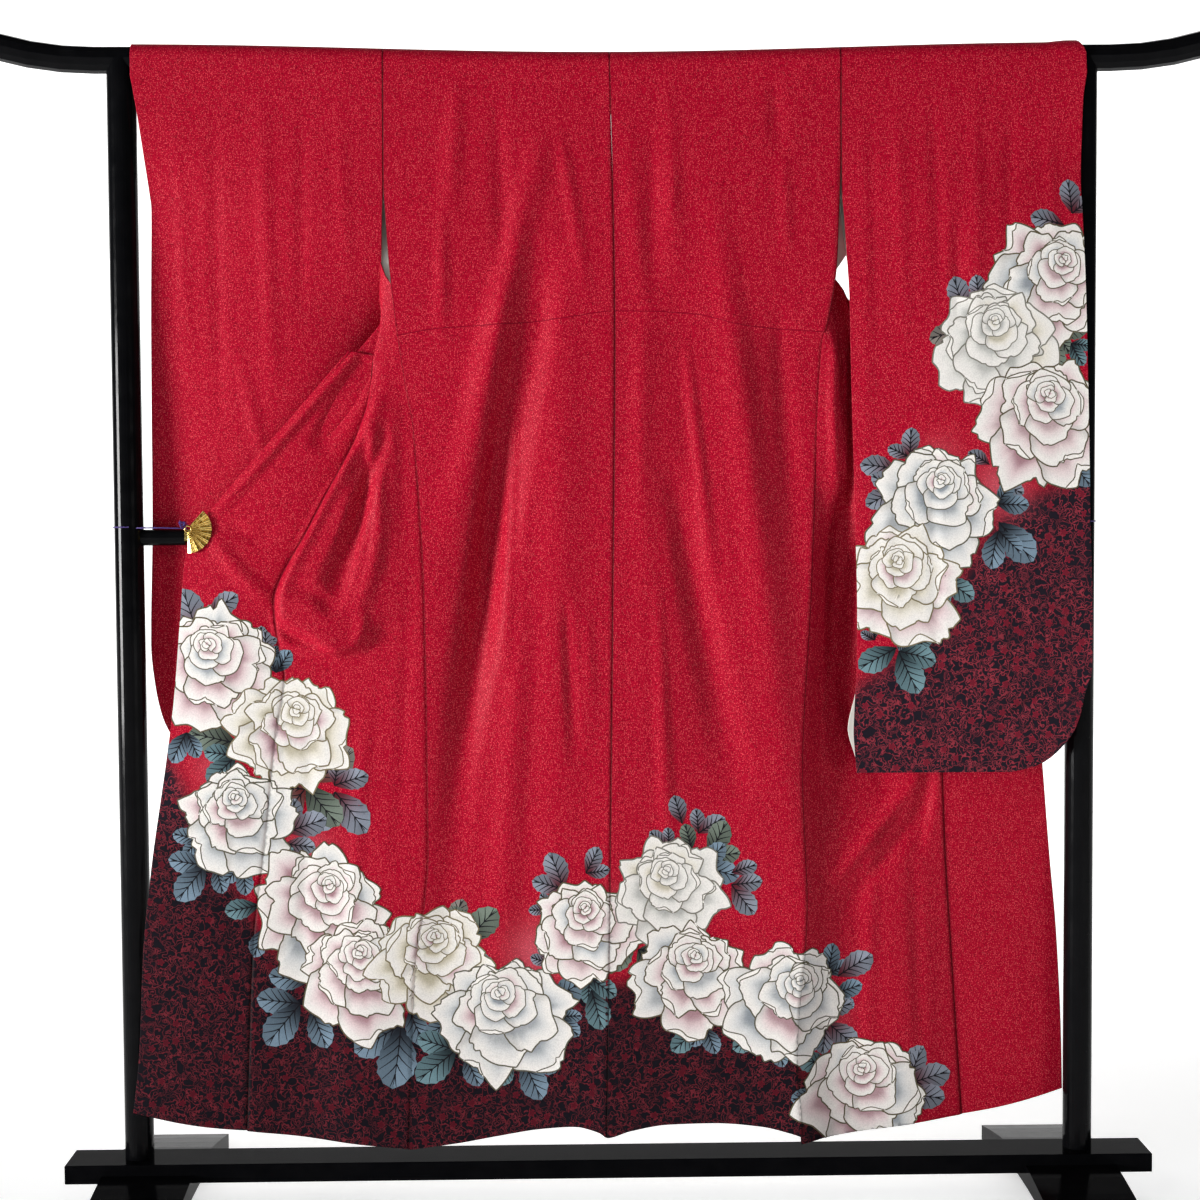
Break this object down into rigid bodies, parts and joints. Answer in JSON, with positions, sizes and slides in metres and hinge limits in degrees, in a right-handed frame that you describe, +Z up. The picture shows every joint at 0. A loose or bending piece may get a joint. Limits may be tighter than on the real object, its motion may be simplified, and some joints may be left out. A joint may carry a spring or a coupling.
{
  "type": "furisode on a kimono stand",
  "caption": "Long-sleeved red silk furisode with roses, hung back to the front on a black lacquered kimono stand with gold clips",
  "frame": {"origin": "centre of the stand's footprint, on the floor", "axes": "+X to the viewer's right along the top bar, +Y away from the viewer, +Z up"},
  "size_m": [1.848, 0.56, 1.6941],
  "materials": {
    "red_silk": "satin silk, printed",
    "collar_silk": "satin silk",
    "black_lacquer": "gloss lacquer",
    "gold_clip": "polished, gold plated",
    "purple_cord": "twisted cord"
  },
  "bodies": {
    "root": {"body_left": "red_silk", "body_right": "red_silk", "okumi_left": "red_silk", "okumi_right": "red_silk", "sleeve_left": "red_silk", "sleeve_right": "red_silk", "collar": "collar_silk", "top_bar": "black_lacquer", "bottom_rail": "black_lacquer", "post_left": "black_lacquer", "post_right": "black_lacquer", "foot_left": "black_lacquer", "foot_right": "black_lacquer", "peg_arm_left": "black_lacquer", "peg_arm_right": "black_lacquer", "clip_fan_left": "gold_clip", "clip_fan_right": "gold_clip", "clip_jaw_left": "gold_clip", "clip_jaw_right": "gold_clip", "clip_cord_left": "purple_cord", "clip_cord_right": "purple_cord"}
  },
  "joints": []
}
